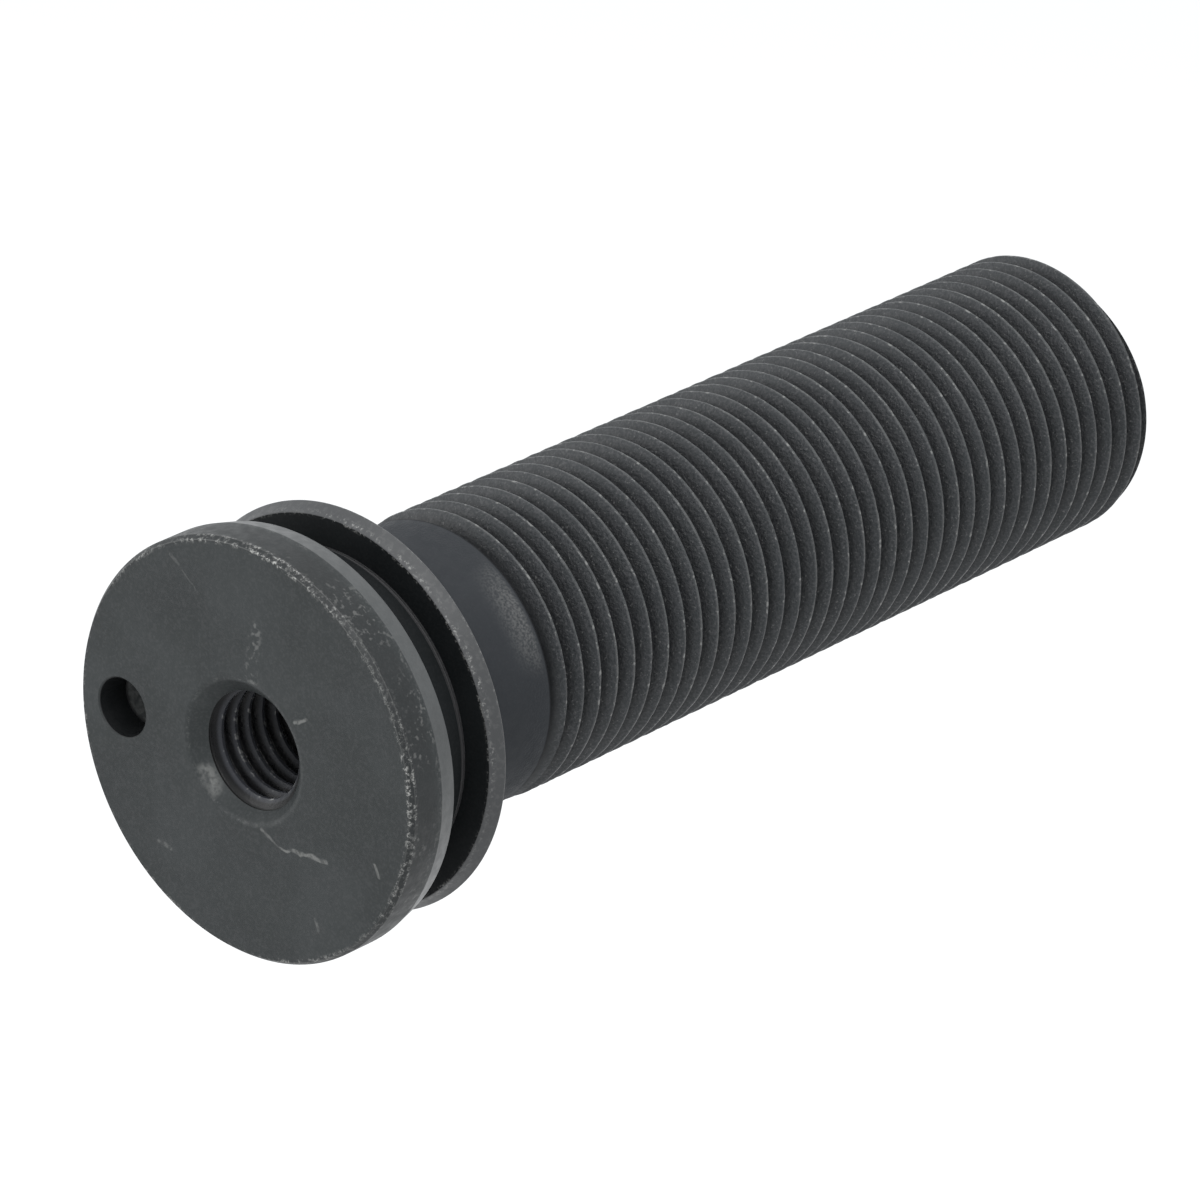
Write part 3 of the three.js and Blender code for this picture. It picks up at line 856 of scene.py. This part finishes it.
def make_snap_ring():
    """An open ring with a small pliers hole near each end."""
    low, high, half_gap = GROOVE_Y + PRESS_GAP, GROOVE_Y + GROOVE_WIDTH - PRESS_GAP, RING_GAP_DEGREES / 2
    ring = turned_ring("snap_ring_body", GROOVE_R + PRESS_GAP, RING_OUTER_R, low, high, 0.1)
    wedge_angles = [math.radians(a) for a in (-half_gap, half_gap)]
    reach = 2 * RING_OUTER_R
    corners = [(0, 0)] + [(reach * math.cos(a), reach * math.sin(a)) for a in wedge_angles]
    y_low, y_high = FACE_Y + (low - 1) * MM, FACE_Y + (high + 1) * MM
    vertices = [(x * MM, y, z * MM) for y in (y_low, y_high) for x, z in corners]
    faces = [(0, 1, 2), (3, 5, 4), (0, 3, 4, 1), (1, 4, 5, 2), (2, 5, 3, 0)]
    combine(ring, face_outward(mesh_object("wedge", vertices, faces)), "DIFFERENCE")
    middle_r = (GROOVE_R + RING_OUTER_R) / 2
    for side in (-1, 1):
        hole = turned("hole", [
            (0, low - 1), (PLIERS_HOLE_R, low - 1), (PLIERS_HOLE_R, high + 1), (0, high + 1)], 24)
        angle = side * math.radians(half_gap + PLIERS_HOLE_DEGREES)
        place = Vector((math.cos(angle), 0, math.sin(angle))) * middle_r * MM
        hole.data.transform(Matrix.Translation(place))
        combine(ring, hole, "DIFFERENCE")
    return smooth(ring)


# ---- Ball thrust bearing ----
def make_race(name, low, track_side):
    """A washer whose ball track is an arc a little wider than the ball. track_side is +1 when it faces +Y."""
    seat = low if track_side > 0 else low + RACE_THICKNESS
    front = seat + track_side * RACE_THICKNESS
    half = math.degrees(math.acos(abs(front - BALL_Y) / TRACK_R))
    down = -90 * track_side
    groove = arc((BALL_PITCH_R, BALL_Y), TRACK_R, down + track_side * half, down - track_side * half)
    middle = low + RACE_THICKNESS / 2
    corners = [
        (RACE_INNER_R, middle), (RACE_INNER_R, seat, EDGE), (RACE_OUTER_R, seat, EDGE),
        (RACE_OUTER_R, front, EDGE), groove[0],
    ]
    tail = [groove[-1], (RACE_INNER_R, front, EDGE), (RACE_INNER_R, middle)]
    return smooth(turned(name, rounded(corners) + groove[1:-1] + rounded(tail)[:-1]))


def ball_centre(index):
    angle = 2 * math.pi * index / BALL_COUNT
    return BALL_PITCH_R * math.cos(angle), BALL_PITCH_R * math.sin(angle)


def make_ball(index):
    outline = arc((0, BALL_Y), BALL_R, -90, 90, 24)
    outline[0], outline[-1] = (0, BALL_Y - BALL_R), (0, BALL_Y + BALL_R)
    ball = turned(f"ball_{index + 1:02d}_polished", outline, BALL_COLUMNS)
    x, z = ball_centre(index)
    ball.data.transform(Matrix.Translation((x * MM, 0, z * MM)))
    return smooth(ball, 60)


def make_cage():
    low, high = BALL_Y - CAGE_HALF, BALL_Y + CAGE_HALF
    cage = turned_ring("drilled_cage", RACE_INNER_R + CAGE_MARGIN, RACE_OUTER_R - CAGE_MARGIN, low, high)
    pocket_r = BALL_R + SIDE_GAP
    for index in range(BALL_COUNT):
        pocket = turned("pocket", [
            (0, low - 1), (pocket_r, low - 1), (pocket_r, high + 1), (0, high + 1)], BALL_COLUMNS)
        x, z = ball_centre(index)
        pocket.data.transform(Matrix.Translation((x * MM, 0, z * MM)))
        combine(cage, pocket, "DIFFERENCE")
    return smooth(cage)


def make_seal():
    """A rubber ring whose lip is drawn in at the middle."""
    low, high = HUB_END + SEAL_GAP, FLANGE_Y - SEAL_GAP
    outer = HUB_R - SEAL_INSET
    lip = arc((outer, (low + high) / 2), SEAL_LIP_R, 90, 270, 8)
    front = [(SKIRT_INNER_R, low), (outer - SEAL_CORNER, low), (outer, low + SEAL_CORNER)]
    back = [(outer, high - SEAL_CORNER), (outer - SEAL_CORNER, high), (SKIRT_INNER_R, high)]
    return smooth(turned("seal_lip", front + lip[::-1] + back))


# ---- Assembly ----
# Margins at the borders between zones.
NEAR = 0.1
HAIR = 0.02


def head_zone(radius, height):
    """Which of the head's materials a face gets, from its largest radius and its middle height.

    0 is face and rim, 1 behind the rim, 2 in the tapped hole and 3 the bevel."""
    in_tap = radius < TAP["major"] + 0.03 and 0.95 < height < DRILL_DEPTH + DRILL_POINT
    on_bevel = radius > RIM_BACK_R - NEAR and RIM_STRAIGHT_END + NEAR < height < RIM_BACK - HAIR
    behind_rim = radius < RIM_BACK_R + NEAR and height > RIM_BACK - HAIR
    if in_tap:
        return 2
    if on_bevel:
        return 3
    return 1 if behind_rim else 0


def spindle_zone(radius, height):
    """The same for the spindle: 0 is flange rim and thread, 1 in front of the flange and 2 the neck."""
    before_flange = height < FLANGE_Y + 0.01 and radius < FLANGE_FRONT_R + NEAR
    on_neck = FLANGE_BACK - HAIR < height < NECK_END + 0.01 and radius > NECK_END_R - 2
    if before_flange:
        return 1
    return 2 if on_neck else 0


def finish_piece(thing, body, node, materials, zone=None):
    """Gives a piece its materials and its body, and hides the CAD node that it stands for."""
    thing.data.materials.clear()
    for material in materials:
        thing.data.materials.append(material)
    if zone:
        corners = thing.data.vertices
        for face in thing.data.polygons:
            radius = max(math.hypot(corners[i].co.x, corners[i].co.z) for i in face.vertices)
            face.material_index = zone(radius / MM, (face.center.y - FACE_Y) / MM)
    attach(thing, body)
    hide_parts(node)


make_camera()
make_floor()
make_studio()

polished = [ground_steel()]
spring = [spring_steel()]
shaded = shaded_black()
bush_metal = [bronze("bush_bronze", (0.5, 0.33, 0.17))]
cage_metal = [bronze("cage_bronze", (0.62, 0.42, 0.2))]
inner = STEM_R + RUNNING_GAP
bush = turned_ring("oiled_bush", inner, BUSH_R, BEARING_Y + SIDE_GAP, RIB_Y - SIDE_GAP, BUSH_EDGE)
washer = turned_ring("flat_washer", inner, BORE_R - WASHER_GAP, RIB_END + SIDE_GAP, GROOVE_Y - SIDE_GAP)
rear_race = make_race("rear_race_ground", BEARING_Y - RACE_THICKNESS, -1)
front_race = make_race("front_race_ground", SEAT_Y, 1)
spindle_metal = [spindle_black(), shaded, neck_black()]
head_metal = [head_black(), shaded, tap_black(), bevel_black()]

finish_piece(make_spindle(), "spindle", "threaded_spindle", spindle_metal, spindle_zone)
finish_piece(make_insert(), "spindle", "drive_insert", [insert_black()])
finish_piece(rear_race, "spindle", "rear_race", polished)
finish_piece(make_seal(), "spindle", "dust_seal", [seal_rubber()])
finish_piece(smooth(bush), "spindle", "guide_bush", bush_metal)
finish_piece(make_head(), "head", "thrust_head", head_metal, head_zone)
finish_piece(front_race, "head", "front_race", polished)
finish_piece(smooth(washer), "head", "retaining_washer", spring)
finish_piece(make_snap_ring(), "head", "retaining_ring", spring)
finish_piece(make_cage(), "ball_set", "ball_cage", cage_metal)
for number in range(BALL_COUNT):
    finish_piece(make_ball(number), "ball_set", f"ball_{number + 1:02d}", polished)
